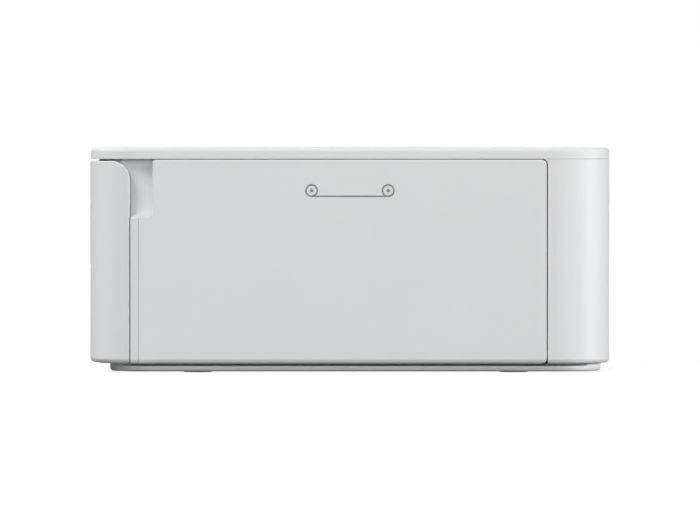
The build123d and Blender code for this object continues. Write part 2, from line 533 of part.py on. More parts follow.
with BuildPart() as chassis_right_plate:
    block(*XR, -37.0, 58.0, 4.0, 49.8)
    fillet(chassis_right_plate.edges().filter_by(Axis.X), radius=4.0)
    for y in (-25.0, 50.0):
        block(XR[0], 67.4, y - 5, y + 5, 4.0, 5.2)
        rod_z(64.4, y, 3, 7, 1.5, mode=Mode.SUBTRACT)
    for c, r in ((PLATEN, 4.0), (CAPSTAN, 4.0), (PINCH, 1.56), (PICKUP, 2.05), (HEAD_PIVOT, 1.5)):
        rod_x(58, 64, c[0], c[1], r, mode=Mode.SUBTRACT)
    block(58, 64, -24.6, 32.6, 22.9, 45.8, mode=Mode.SUBTRACT)
save(chassis_right_plate, "chassis_right_plate")

with BuildPart() as chassis_tie_bars:
    block(XL[1], XR[0], -33.0, -25.5, 46.6, 47.8)
    block(XL[1], XR[0], -33.0, -31.8, 43.0, 47.8)
    block(XL[1], XR[0], 53.0, 57.0, 38.0, 39.2)
    block(XL[1], XR[0], 55.8, 57.0, 38.0, 45.0)
save(chassis_tie_bars, "chassis_tie_bars")

# Cross-head screws: four through the chassis feet, four through the base into the top posts.
with BuildPart() as screws:
    for x in (-68.4, 64.4):
        for y in (-25.0, 50.0):
            rod_z(x, y, 1.5, 5.3, 1.25)
            rod_z(x, y, 5.2, 6.7, 2.3)
            block(x - 1.5, x + 1.5, y - 0.3, y + 0.3, 6.1, 7, mode=Mode.SUBTRACT)
            block(x - 0.3, x + 0.3, y - 1.5, y + 1.5, 6.1, 7, mode=Mode.SUBTRACT)
    for x, y in POSTS:
        rod_z(x, y, 0.7, 2.5, 2.45)
        rod_z(x, y, 2.4, 12.0, 1.1)
        block(x - 1.6, x + 1.6, y - 0.3, y + 0.3, 0, 1.4, mode=Mode.SUBTRACT)
        block(x - 0.3, x + 0.3, y - 1.6, y + 1.6, 0, 1.4, mode=Mode.SUBTRACT)
save(screws, "screws")

# ---------------------------------------------------------------- paper path
with BuildPart() as platen_roller:
    rod_x(-52, 52, *PLATEN, 7.0)
    rod_x(-60, 60, *PLATEN, 3.0, mode=Mode.SUBTRACT)
save(platen_roller, "platen_roller")
with BuildPart() as platen_shaft:
    rod_x(-53, 53, *PLATEN, 3.0)
    rod_x(-67.0, 63.5, *PLATEN, 2.5)
save(platen_shaft, "platen_shaft")
with BuildPart() as shaft_bushings:
    for c in (PLATEN, CAPSTAN):
        for x0, x1, f0, f1 in ((-66.0, -63.2, -63.2, -62.2), (59.2, 62.0, 58.2, 59.2)):
            rod_x(x0, x1, c[0], c[1], 4.0)
            rod_x(f0, f1, c[0], c[1], 4.8)
            rod_x(x0 - 2, x1 + 2, c[0], c[1], 2.55, mode=Mode.SUBTRACT)
save(shaft_bushings, "shaft_bushings")

ph_cap = 0.13
ph_red = mesh_phase(CAPSTAN, Z_CAPSTAN, ph_cap, REDUCER, Z_SMALL)
ph_fm = mesh_phase(REDUCER, Z_BIG, 0.21, FEED_MOTOR, Z_PINION)
ph_rm = mesh_phase(TAKEUP, Z_RIBBON, 0.05, RIBBON_MOTOR, Z_PINION)
with BuildPart() as capstan_roller:
    rod_x(-52, 52, *CAPSTAN, 3.0)
    rod_x(-70.8, 62.0, *CAPSTAN, 2.5)
save(capstan_roller, "capstan_roller")
with BuildPart() as capstan_gear:
    gear_body(Z_CAPSTAN, CAPSTAN, ph_cap, *PLANE_B)
    rod_x(PLANE_B[0] - 0.6, PLANE_B[1] + 0.6, *CAPSTAN, 4.4)
    rod_x(-80, -60, *CAPSTAN, 2.5, mode=Mode.SUBTRACT)
save(capstan_gear, "capstan_gear")
with BuildPart() as pinch_roller:
    rod_x(-52, 52, *PINCH, 3.0)
    rod_x(-65.8, 61.8, *PINCH, 1.5)
save(pinch_roller, "pinch_roller")
with BuildPart() as pickup_shaft:
    rod_x(-66.5, 62.0, *PICKUP, 2.0)
    rod_x(-17.0, -15.0, *PICKUP, 3.6)
    rod_x(15.0, 17.0, *PICKUP, 3.6)
save(pickup_shaft, "pickup_shaft")
with BuildPart() as pickup_roller:
    rod_x(-15, 15, *PICKUP, 6.0)
    block(-20, 20, PICKUP[0] - 8, PICKUP[0] + 8, PICKUP[1] + 3.6, PICKUP[1] + 8, mode=Mode.SUBTRACT)
    rod_x(-20, 20, *PICKUP, 2.0, mode=Mode.SUBTRACT)
save(pickup_roller, "pickup_roller")
with BuildPart() as paper_lift_plate:
    block(-38.0, 38.0, -57.0, -28.0, 3.3, 4.5)
    block(-38.0, 38.0, -28.8, -28.0, 2.9, 4.5)
    rod_x(-40.8, 40.8, -56.0, 3.9, 1.0)
    rod_x(-43.0, 43.0, -56.0, 3.9, 1.0)
    for x in (-24, 0, 24):
        block(x - 5, x + 5, -50, -38, 3, 5, mode=Mode.SUBTRACT)
save(paper_lift_plate, "paper_lift_plate")
with BuildPart() as front_paper_guide:
    block(-63.9, 59.9, -25.0, 33.0, 19.3, 20.8)
    block(-63.9, 59.9, -25.0, -23.8, 16.0, 20.8)
    for k in range(-4, 5):
        block(12.0 * k - 0.6, 12.0 * k + 0.6, -25.0, 33.0, 20.7, 22.2)
    block(-54.0, 54.0, -4.6, 12.6, 10, 30, mode=Mode.SUBTRACT)
    # reliefs over the bushings' flanges
    for x0, x1 in ((-65.0, -61.8), (57.8, 61.0)):
        block(x0, x1, PLATEN[0] - 5.2, PLATEN[0] + 5.2, 10, 21.3, mode=Mode.SUBTRACT)
save(front_paper_guide, "front_paper_guide")
with BuildPart() as rear_paper_guide:
    block(-63.9, 59.9, 43.2, 52.0, 19.3, 20.8)
    block(-53.0, 53.0, 43.2, 65.1, 20.2, 20.8)
    for k in range(-4, 5):
        block(12.0 * k - 0.6, 12.0 * k + 0.6, 43.2, 64.0, 20.7, 22.2)
save(rear_paper_guide, "rear_paper_guide")

# ---------------------------------------------------------------- print head, drawn pressed down, then raised
PIVOT_AXIS = Axis((0, HEAD_PIVOT[0], HEAD_PIVOT[1]), (1, 0, 0))


def save_raised(builder, name):
    part = builder.part.rotate(PIVOT_AXIS, -HEAD_LIFT)
    part.label = name
    export_step(part, f"parts/{name}.step")
    print(name, len(part.solids()), round(part.volume))


with BuildPart() as head_arm:
    block(-56.0, 56.0, -1.5, 44.0, 45.2, 46.4)
    block(-56.0, 56.0, -1.5, -0.5, 41.5, 46.4)
    for x0, x1 in ((-56.0, -54.8), (54.8, 56.0)):
        block(x0, x1, 30.0, 50.5, 44.9, 49.5)
        rod_x(x0, x1, *HEAD_PIVOT, 3.6)
    for x in (-34.0, 0.0, 34.0):
        block(x - 12, x + 12, 14.0, 38.0, 44, 48, mode=Mode.SUBTRACT)
    rod_x(-60, 60, *HEAD_PIVOT, 1.56, mode=Mode.SUBTRACT)
save_raised(head_arm, "head_arm")
with BuildPart() as heat_sink:
    block(-52.0, 52.0, -0.4, 9.5, 27.2, 45.1)
    for z in (31.0, 34.5, 38.0, 41.5):
        block(-53, 53, 2.6, 12, z, z + 2.0, mode=Mode.SUBTRACT)
save_raised(heat_sink, "heat_sink")
with BuildPart() as thermal_head:
    block(-52.0, 52.0, -0.4, 9.0, 24.7, 27.1)
    rod_x(-50.0, 50.0, 4.0, 24.75, 0.6)
save_raised(thermal_head, "thermal_head")
with BuildPart() as head_pivot_rod:
    rod_x(-66.4, 62.0, *HEAD_PIVOT, 1.5)
save(head_pivot_rod, "head_pivot_rod")

# ---------------------------------------------------------------- drive
with BuildPart() as feed_motor:
    rod_x(-87.4, -76.1, *FEED_MOTOR, 10.8)
    rod_x(-76.2, -75.2, *FEED_MOTOR, 3.0)
    rod_x(-82.4, -82.0, *FEED_MOTOR, 11.2)
    rod_x(-82.0, -70.0, *FEED_MOTOR, 1.06, mode=Mode.SUBTRACT)
save(feed_motor, "feed_motor")
with BuildPart() as feed_motor_pinion:
    gear_body(Z_PINION, FEED_MOTOR, ph_fm, *PLANE_A)
    rod_x(-81.5, -70.8, *FEED_MOTOR, 1.0)
save(feed_motor_pinion, "feed_motor_pinion")
with BuildPart() as reduction_gear:
    gear_body(Z_BIG, REDUCER, 0.21, *PLANE_A)
    gear_body(Z_SMALL, REDUCER, ph_red, PLANE_A[1], PLANE_B[1])
    rod_x(-80, -60, *REDUCER, 1.55, mode=Mode.SUBTRACT)
    for k in range(5):
        a = 2 * math.pi * k / 5
        rod_x(-80, -60, REDUCER[0] + 7.6 * math.cos(a), REDUCER[1] + 7.6 * math.sin(a), 2.2, mode=Mode.SUBTRACT)
save(reduction_gear, "reduction_gear")
with BuildPart() as ribbon_motor:
    rod_x(-87.2, -76.1, *RIBBON_MOTOR, 7.6)
    rod_x(-76.2, -75.4, *RIBBON_MOTOR, 2.4)
    rod_x(-82.0, -70.0, *RIBBON_MOTOR, 1.06, mode=Mode.SUBTRACT)
save(ribbon_motor, "ribbon_motor")
with BuildPart() as ribbon_motor_pinion:
    gear_body(Z_PINION, RIBBON_MOTOR, ph_rm, *PLANE_B)
    rod_x(-81.5, -66.6, *RIBBON_MOTOR, 1.0)
save(ribbon_motor_pinion, "ribbon_motor_pinion")
with BuildPart() as motor_bracket:
    with BuildSketch(Plane.YZ.offset(-76.0)) as mb:
        with BuildLine():
            Polyline((-4, 10), (-4, 36), (4, 50.5), (44, 50.5), (46, 32), (33, 22), (20, 8.5), close=True)
        make_face()
    extrude(mb.sketch, amount=1.2)
    for y, z in ((0.0, 32.0), (8.0, 46.0), (42.0, 35.0)):
        rod_x(-74.9, XL[0], y, z, 1.9)
    rod_x(-80, -70, *FEED_MOTOR, 3.1, mode=Mode.SUBTRACT)
    rod_x(-80, -70, *RIBBON_MOTOR, 2.5, mode=Mode.SUBTRACT)
    # riveted stud on which the reduction gear turns
    rod_x(-75.9, XL[1], *REDUCER, 1.5)
save(motor_bracket, "motor_bracket")
with BuildPart() as takeup_spindle:
    gear_body(Z_RIBBON, TAKEUP, 0.05, *PLANE_B)
    rod_x(-70.6, -56.0, *TAKEUP, 2.0)
    rod_x(-67.1, -66.4, *TAKEUP, 3.4)
    for k in range(3):
        a = math.radians(90 + 120 * k)
        with Locations(Location((-58.4, TAKEUP[0] + 2.2 * math.cos(a), TAKEUP[1] + 2.2 * math.sin(a)), (math.degrees(a), 0, 0))):
            Box(4.4, 1.3, 0.7)
save(takeup_spindle, "takeup_spindle")

# ---------------------------------------------------------------- ink cassette
CAS_X = (-62.5, 64.0)


def housing(centre, open0, open1):
    """C-shaped spool housing; the opening runs from open0 to open1 degrees."""
    r0, r1 = 8.3, 9.5
    with BuildSketch(Plane.YZ.offset(CAS_X[0] + 1.0)) as s:
        with BuildLine():
            n = 40
            pts = []
            span = 360 - (open1 - open0)
            for k in range(n + 1):
                a = math.radians(open1 + span * k / n)
                pts.append((centre[0] + r1 * math.cos(a), centre[1] + r1 * math.sin(a)))
            for k in range(n, -1, -1):
                a = math.radians(open1 + span * k / n)
                pts.append((centre[0] + r0 * math.cos(a), centre[1] + r0 * math.sin(a)))
            Polyline(*pts, close=True)
        make_face()
    extrude(s.sketch, amount=CAS_X[1] - CAS_X[0] - 2.0)


def cap_plate(x0, x1, full):
    with BuildSketch(Plane.YZ.offset(x0)) as s:
        with Locations(SUPPLY, TAKEUP):
            Circle(9.5)
        if full:
            with Locations(((SUPPLY[0] + TAKEUP[0]) / 2, SUPPLY[1] - 0.4)):
                Rectangle(TAKEUP[0] - SUPPLY[0], 18.2)
        with Locations(((SUPPLY[0] + TAKEUP[0]) / 2, 25.2)):
            Rectangle(TAKEUP[0] - SUPPLY[0], 2.8)
    extrude(s.sketch, amount=x1 - x0)


with BuildPart() as cassette_frame:
    housing(SUPPLY, -78, -15)
    housing(TAKEUP, -165, -102)
    cap_plate(CAS_X[0], CAS_X[0] + 1.5, False)
    cap_plate(CAS_X[1] - 2.2, CAS_X[1], True)
    # journals' holes
    for c in (SUPPLY, TAKEUP):
        rod_x(CAS_X[0] - 2, CAS_X[0] + 2, c[0], c[1], 3.78, mode=Mode.SUBTRACT)
        rod_x(CAS_X[1] - 4, CAS_X[1] + 1, c[0], c[1], 2.57, mode=Mode.SUBTRACT)
    # grip bar and eject hook on the outer cap
    block(64.0, 70.0, -3.0, 11.0, 33.4, 36.4)
    block(69.0, 70.6, -3.0, 11.0, 32.0, 37.8)
    block(63.9, 75.0, -17.6, -15.6, 32.0, 38.0)
    block(72.6, 75.0, -23.0, -15.6, 32.0, 38.0)
save(cassette_frame, "ink_cassette_frame")


def spool(name, centre, roll):
    with BuildPart() as s:
        rod_x(-60.4, 61.0, *centre, 4.2)
        rod_x(-62.9, -60.3, *centre, 3.7)
        rod_x(60.9, 63.8, *centre, 2.5)
        for x0, x1 in ((-60.4, -59.6), (60.2, 61.0)):
            rod_x(x0, x1, *centre, 7.9)
        rod_x(-54.5, 54.5, *centre, roll)
        rod_x(-64, -50, *centre, 3.05, mode=Mode.SUBTRACT)
        for k in range(3):
            a = math.radians(150 + 120 * k)
            with Locations(Location((-58.0, centre[0] + 2.85 * math.cos(a), centre[1] + 2.85 * math.sin(a)), (math.degrees(a), 0, 0))):
                Box(6.0, 0.7, 0.7)
    save(s, name)


spool("supply_spool", SUPPLY, 7.3)
spool("takeup_spool", TAKEUP, 5.2)
with BuildPart() as ink_ribbon:
    with BuildSketch(Plane.YZ.offset(-52.0)) as web:
        with BuildLine():
            Polyline((-9.5, 28.75), (-4.8, 24.0), (12.8, 24.0), (18.3, 30.75),
                     (18.45, 30.65), (12.87, 23.85), (-4.87, 23.85), (-9.62, 28.65), close=True)
        make_face()
    extrude(web.sketch, amount=104.0)
save(ink_ribbon, "ink_ribbon")

# ---------------------------------------------------------------- ink bay
with BuildPart() as bay_bezel:
    block(80.5, 82.5, -48.5, 49.6, Z_FLOOR, 53.6)
    fillet(bay_bezel.edges().filter_by(Axis.X), radius=3.0)
    # catches for the ink door's snap hooks
    for y in (-30.0, 30.0):
        block(82.4, 85.8, y - 3.5, y + 3.5, 52.5, 53.6)
    block(62.2, 81.0, -47.6, 36.1, 20.0, 48.6)
    block(63.8, 90.0, -46.1, 34.6, 21.5, 47.1, mode=Mode.SUBTRACT)
    block(60.0, 66.0, -24.6, 32.6, 22.8, 46.0, mode=Mode.SUBTRACT)
    rod_z(*LEVER, 20.5, 48.0, 1.5)
save(bay_bezel, "cassette_bay_bezel")

with BuildPart() as eject_lever:
    rod_z(*LEVER, 30.0, 40.0, 3.4)
    block(70.6, 72.4, -38.0, -19.0, 33.0, 37.0)
    block(70.9, 73.1, -44.5, -38.0, 31.0, 39.0)
    block(71.0, 76.0, -44.5, -42.6, 30.0, 40.0)
    fillet(eject_lever.edges().filter_by(Axis.Z).group_by(Axis.X)[-1], radius=0.5)
    rod_z(*LEVER, 20, 50, 1.56, mode=Mode.SUBTRACT)
save(eject_lever, "eject_lever")

# ---------------------------------------------------------------- electronics
with BuildPart() as main_board:
    block(-58.0, 56.0, 15.0, 60.0, 5.0, 6.6)
    for x, y in ((-52.0, 20.0), (-52.0, 55.0), (50.0, 20.0), (50.0, 55.0)):
        rod_z(x, y, 4, 8, 1.3, mode=Mode.SUBTRACT)
    block(-18, 2, 26, 46, 6.6, 8.4)
    block(12, 24, 30, 44, 6.6, 7.8)
    block(30, 36, 26, 50, 6.6, 12.0)
    block(-46, -38, 30, 50, 6.6, 11.0)
    for x in (-30.0, -24.0, 42.0):
        rod_z(x, 52.0, 6.6, 13.0, 2.6)
    block(-30, 30, 16.0, 19.0, 6.6, 9.6)
save(main_board, "main_board")

with BuildPart() as io_board:
    block(-87.6, -67.4, -44.0, -4.4, 19.8, 21.3)
    block(-88.6, -70.0, -31.0, -4.4, 21.3, 25.3)
    block(-89, -72.0, -30.0, -5.2, 22.4, 24.6, mode=Mode.SUBTRACT)
    block(-88.6, -81.4, -42.9, -34.1, 21.3, 24.7)
    block(-89, -83.0, -42.6, -34.4, 21.9, 24.4, mode=Mode.SUBTRACT)
    block(-84.0, -82.9, -41.5, -35.5, 22.9, 23.5)
    rod_z(-78.0, -38.0, 19, 22, 1.0, mode=Mode.SUBTRACT)
save(io_board, "io_board")

with BuildPart() as dc_jack:
    block(-76.4, -67.6, 52.0, 64.1, 8.9, 18.1)
    rod_y(-72.0, 54.5, 65.0, 13.5, 2.75, mode=Mode.SUBTRACT)
    rod_y(-72.0, 54.4, 63.6, 13.5, 0.85)
save(dc_jack, "dc_jack")
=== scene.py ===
"""Looks of the compact photo printer: finishes, small trim and a plain studio."""

import json
import math

import bmesh
import bpy
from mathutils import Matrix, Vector


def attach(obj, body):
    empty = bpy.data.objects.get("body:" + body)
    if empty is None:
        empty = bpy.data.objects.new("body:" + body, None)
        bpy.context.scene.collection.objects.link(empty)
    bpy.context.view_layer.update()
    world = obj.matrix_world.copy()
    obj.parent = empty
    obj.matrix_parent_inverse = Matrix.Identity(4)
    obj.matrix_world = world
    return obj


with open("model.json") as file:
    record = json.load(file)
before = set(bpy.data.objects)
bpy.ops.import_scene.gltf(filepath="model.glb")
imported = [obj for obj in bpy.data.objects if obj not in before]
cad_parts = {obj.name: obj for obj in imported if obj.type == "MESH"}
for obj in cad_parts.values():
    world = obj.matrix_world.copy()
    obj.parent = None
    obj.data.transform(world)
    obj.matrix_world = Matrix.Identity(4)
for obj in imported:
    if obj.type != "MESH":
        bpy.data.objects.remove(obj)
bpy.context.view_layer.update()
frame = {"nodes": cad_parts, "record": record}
NODES = frame["nodes"]
SCENE = bpy.context.scene
MM = 0.001

# ------------------------------------------------------------------ stage: camera, floor, light
NEAR_X = 0.091                       # the ink side's face
CAM_DIST = 2.10
cam_data = bpy.data.cameras.new("camera")
cam_data.sensor_width = 36.0
cam_data.lens = 36.0 * CAM_DIST / 0.17822
cam_data.dof.use_dof = False
cam_data.clip_start, cam_data.clip_end = 0.05, 60.0
cam = bpy.data.objects.new("camera", cam_data)
SCENE.collection.objects.link(cam)
target = Vector((NEAR_X, 0.00002, 0.02885))
cam.location = Vector((NEAR_X + CAM_DIST, 0.00002, 0.0580))
cam.rotation_mode = "QUATERNION"
cam.rotation_quaternion = (target - cam.location).to_track_quat("-Z", "Y")
SCENE.camera = cam
SCENE.view_settings.view_transform = "Standard"
SCENE.view_settings.look = "None"
SCENE.view_settings.exposure = 0.0
SCENE.view_settings.gamma = 1.0


def new_tree(material):
    material.use_nodes = True
    tree = material.node_tree
    tree.nodes.clear()
    return tree


def node(tree, kind, **sockets):
    n = tree.nodes.new(kind)
    for key, value in sockets.items():
        if key in n.inputs:
            n.inputs[key].default_value = value
        else:
            setattr(n, key, value)
    return n


def area(name, location, aim, size, power, colour=(1, 1, 1), size_y=None):
    data = bpy.data.lights.new(name, "AREA")
    data.shape = "RECTANGLE" if size_y else "SQUARE"
    data.size = size
    if size_y:
        data.size_y = size_y
    data.energy = power
    data.color = colour
    ob = bpy.data.objects.new(name, data)
    SCENE.collection.objects.link(ob)
    ob.location = location
    ob.rotation_mode = "QUATERNION"
    ob.rotation_quaternion = (Vector(aim) - Vector(location)).to_track_quat("-Z", "Y")
    return ob


area("top_softbox", (0.10, 0.10, 1.6), (0, 0, 0), 1.6, 2.1)
area("right_softbox", (0.40, 1.85, 0.30), (0, 0, 0.03), 0.5, 23.4)
area("right_front_softbox", (1.60, 0.9, 0.45), (0, 0, 0.03), 0.8, 5.1)
area("left_front_softbox", (1.05, -1.25, 1.6), (0, 0, 0.03), 1.0, 29.0)
area("left_rear_softbox", (-0.45, -1.50, 1.3), (0, 0, 0.03), 0.9, 14.8)
area("front_softbox", (2.4, -0.3, 0.55), (0, 0, 0.03), 0.9, 11.5)
area("back_softbox", (-1.7, 0.2, 0.9), (0, 0, 0.03), 1.4, 6.4)
area("far_side_softbox", (-1.8, -0.2, 0.34), (0, 0, 0.03), 0.9, 7.0)

world = bpy.data.worlds.new("studio")
SCENE.world = world
world.use_nodes = True
wt = world.node_tree
wt.nodes.clear()
w_out = node(wt, "ShaderNodeOutputWorld")
w_mix = node(wt, "ShaderNodeMixShader")
w_ray = node(wt, "ShaderNodeLightPath")
w_fill = node(wt, "ShaderNodeBackground", Color=(1, 1, 1, 1), Strength=0.03)
w_seen = node(wt, "ShaderNodeBackground", Color=(1, 1, 1, 1), Strength=1.0)
wt.links.new(w_ray.outputs["Is Camera Ray"], w_mix.inputs[0])
wt.links.new(w_fill.outputs[0], w_mix.inputs[1])
wt.links.new(w_seen.outputs[0], w_mix.inputs[2])
wt.links.new(w_mix.outputs[0], w_out.inputs[0])

floor_mesh = bpy.data.meshes.new("floor")
floor_mesh.from_pydata([(-5, -5, 0), (5, -5, 0), (5, 5, 0), (-5, 5, 0)], [], [(0, 1, 2, 3)])
floor = bpy.data.objects.new("floor", floor_mesh)
SCENE.collection.objects.link(floor)
floor.location.z = -0.00002
floor_mat = bpy.data.materials.new("floor_white")
ft = new_tree(floor_mat)
f_out = node(ft, "ShaderNodeOutputMaterial")
f_dif = node(ft, "ShaderNodeBsdfDiffuse", Color=(0.30, 0.30, 0.30, 1))
f_em = node(ft, "ShaderNodeEmission", Color=(1, 1, 1, 1), Strength=0.86)
f_co = node(ft, "ShaderNodeTexCoord")
f_len = node(ft, "ShaderNodeVectorMath", operation="LENGTH")
f_far = node(ft, "ShaderNodeMapRange", interpolation_type="SMOOTHSTEP")
f_far.inputs["From Min"].default_value = 0.10
f_far.inputs["From Max"].default_value = 0.60
f_far.inputs["To Min"].default_value = 0.84
f_far.inputs["To Max"].default_value = 1.0
ft.links.new(f_co.outputs["Object"], f_len.inputs[0])
ft.links.new(f_len.outputs["Value"], f_far.inputs["Value"])
ft.links.new(f_far.outputs[0], f_em.inputs["Strength"])
# a faint glow right under the object, so that its underside isn't pitch dark from below
f_under = node(ft, "ShaderNodeEmission", Color=(1, 1, 1, 1), Strength=0.6)
f_axes = node(ft, "ShaderNodeSeparateXYZ")
ft.links.new(f_co.outputs["Object"], f_axes.inputs[0])


def within(socket, half, soft=0.004):
    """1 inside half of the origin, fading to 0 over soft."""
    ab = node(ft, "ShaderNodeMath", operation="ABSOLUTE")
    fade = node(ft, "ShaderNodeMapRange", interpolation_type="SMOOTHSTEP")
    fade.inputs["From Min"].default_value = half
    fade.inputs["From Max"].default_value = half - soft
    ft.links.new(socket, ab.inputs[0])
    ft.links.new(ab.outputs[0], fade.inputs["Value"])
    return fade.outputs[0]


def times(a, b):
    mu = node(ft, "ShaderNodeMath", operation="MULTIPLY")
    ft.links.new(a, mu.inputs[0])
    ft.links.new(b, mu.inputs[1])
    return mu.outputs[0]


f_near = node(ft, "ShaderNodeLightPath")
f_short = node(ft, "ShaderNodeMath", operation="LESS_THAN")
f_short.inputs[1].default_value = 0.03
ft.links.new(f_near.outputs["Ray Length"], f_short.inputs[0])
f_mask = times(times(within(f_axes.outputs["X"], 0.0865), within(f_axes.outputs["Y"], 0.0605)), f_short.outputs[0])
f_low = node(ft, "ShaderNodeMixShader")
ft.links.new(f_mask, f_low.inputs[0])
ft.links.new(f_dif.outputs[0], f_low.inputs[1])
ft.links.new(f_under.outputs[0], f_low.inputs[2])
f_add = node(ft, "ShaderNodeAddShader")
f_ray = node(ft, "ShaderNodeLightPath")
f_seen = node(ft, "ShaderNodeMixShader")
f_geo = node(ft, "ShaderNodeNewGeometry")
f_clear = node(ft, "ShaderNodeBsdfTransparent")
f_side = node(ft, "ShaderNodeMixShader")
ft.links.new(f_dif.outputs[0], f_add.inputs[0])
ft.links.new(f_em.outputs[0], f_add.inputs[1])
ft.links.new(f_ray.outputs["Is Camera Ray"], f_seen.inputs[0])
ft.links.new(f_low.outputs[0], f_seen.inputs[1])
ft.links.new(f_add.outputs[0], f_seen.inputs[2])
ft.links.new(f_geo.outputs["Backfacing"], f_side.inputs[0])
ft.links.new(f_seen.outputs[0], f_side.inputs[1])
ft.links.new(f_clear.outputs[0], f_side.inputs[2])
ft.links.new(f_side.outputs[0], f_out.inputs[0])
floor_mesh.materials.append(floor_mat)


# ------------------------------------------------------------------ materials
def surface(name, colour, colour2, rough, rough_spread=0.06, metallic=0.0, grain=3000.0, depth=0.00003,
            bump=0.25, patch=18.0, edge=0.00012, specular=0.5, coat=0.0, coat_rough=0.1, sheen=0.0,
            brushed=None, alpha=1.0, emission=None, transmission=0.0, pits=0.0, ior=1.5, worn=None):
    """A principled finish: two tones mixed by a broad noise, fine moulded grain, softened edges."""
    m = bpy.data.materials.new(name)
    t = new_tree(m)
    out = node(t, "ShaderNodeOutputMaterial")
    b = node(t, "ShaderNodeBsdfPrincipled")
    b.inputs["Metallic"].default_value = metallic
    b.inputs["IOR"].default_value = ior
    b.inputs["Specular IOR Level"].default_value = specular
    b.inputs["Coat Weight"].default_value = coat
    b.inputs["Coat Roughness"].default_value = coat_rough
    b.inputs["Sheen Weight"].default_value = sheen
    b.inputs["Alpha"].default_value = alpha
    b.inputs["Transmission Weight"].default_value = transmission
    if emission:
        b.inputs["Emission Color"].default_value = (*emission[0], 1)
        b.inputs["Emission Strength"].default_value = emission[1]
    t.links.new(b.outputs[0], out.inputs[0])
    co = node(t, "ShaderNodeTexCoord")
    vec = co.outputs["Object"]
    if brushed:                       # stretched grain of a brushed or ground metal
        mp = node(t, "ShaderNodeMapping")
        mp.inputs["Scale"].default_value = brushed
        t.links.new(vec, mp.inputs["Vector"])
        fine_vec = mp.outputs[0]
    else:
        fine_vec = vec
    broad = node(t, "ShaderNodeTexNoise", Scale=patch, Detail=3.0, Roughness=0.55)
    t.links.new(vec, broad.inputs["Vector"])
    fine = node(t, "ShaderNodeTexNoise", Scale=grain, Detail=4.0, Roughness=0.6)
    t.links.new(fine_vec, fine.inputs["Vector"])
    ramp = node(t, "ShaderNodeMapRange")
    ramp.inputs["From Min"].default_value = 0.35
    ramp.inputs["From Max"].default_value = 0.65
    t.links.new(broad.outputs["Fac"], ramp.inputs["Value"])
    mix = node(t, "ShaderNodeMix", data_type="RGBA")
    mix.inputs[6].default_value = (*colour, 1)
    mix.inputs[7].default_value = (*colour2, 1)
    t.links.new(ramp.outputs[0], mix.inputs[0])
    last_colour = mix.outputs[2]
    speck = node(t, "ShaderNodeMapRange")
    speck.inputs["From Min"].default_value = 0.3
    speck.inputs["From Max"].default_value = 0.7
    speck.inputs["To Min"].default_value = 0.975
    speck.inputs["To Max"].default_value = 1.02
    t.links.new(fine.outputs["Fac"], speck.inputs["Value"])
    mul = node(t, "ShaderNodeMix", data_type="RGBA", blend_type="MULTIPLY")
    mul.inputs[0].default_value = 1.0
    t.links.new(last_colour, mul.inputs[6])
    t.links.new(speck.outputs[0], mul.inputs[7])
    last_colour = mul.outputs[2]
    bev = node(t, "ShaderNodeBevel", samples=3)
    bev.inputs["Radius"].default_value = edge
    if worn:                          # handled edges: colour shifts where the surface turns quickly
        geo = node(t, "ShaderNodeNewGeometry")
        dot = node(t, "ShaderNodeVectorMath", operation="DOT_PRODUCT")
        t.links.new(geo.outputs["Normal"], dot.inputs[0])
        t.links.new(bev.outputs[0], dot.inputs[1])
        wear = node(t, "ShaderNodeMapRange")
        wear.inputs["From Min"].default_value = 0.99
        wear.inputs["From Max"].default_value = 0.80
        t.links.new(dot.outputs["Value"], wear.inputs["Value"])
        wcut = node(t, "ShaderNodeMath", operation="MULTIPLY")
        t.links.new(wear.outputs[0], wcut.inputs[0])
        t.links.new(ramp.outputs[0], wcut.inputs[1])
        wmix = node(t, "ShaderNodeMix", data_type="RGBA")
        t.links.new(wcut.outputs[0], wmix.inputs[0])
        t.links.new(last_colour, wmix.inputs[6])
        wmix.inputs[7].default_value = (*worn, 1)
        last_colour = wmix.outputs[2]
    t.links.new(last_colour, b.inputs["Base Color"])
    rr = node(t, "ShaderNodeMapRange")
    rr.inputs["From Min"].default_value = 0.3
    rr.inputs["From Max"].default_value = 0.7
    rr.inputs["To Min"].default_value = max(0.02, rough - rough_spread)
    rr.inputs["To Max"].default_value = min(1.0, rough + rough_spread)
    t.links.new(fine.outputs["Fac"], rr.inputs["Value"])
    t.links.new(rr.outputs[0], b.inputs["Roughness"])
    height = fine.outputs["Fac"]
    if pits:
        vor = node(t, "ShaderNodeTexVoronoi", Scale=grain * 0.6)
        t.links.new(fine_vec, vor.inputs["Vector"])
        pm = node(t, "ShaderNodeMath", operation="MULTIPLY")
        pm.inputs[1].default_value = pits
        t.links.new(vor.outputs["Distance"], pm.inputs[0])
        ad = node(t, "ShaderNodeMath", operation="ADD")
        t.links.new(height, ad.inputs[0])
        t.links.new(pm.outputs[0], ad.inputs[1])
        height = ad.outputs[0]
    bp = node(t, "ShaderNodeBump", Strength=bump, Distance=depth)
    t.links.new(height, bp.inputs["Height"])
    t.links.new(bev.outputs[0], bp.inputs["Normal"])
    t.links.new(bp.outputs[0], b.inputs["Normal"])
    return m


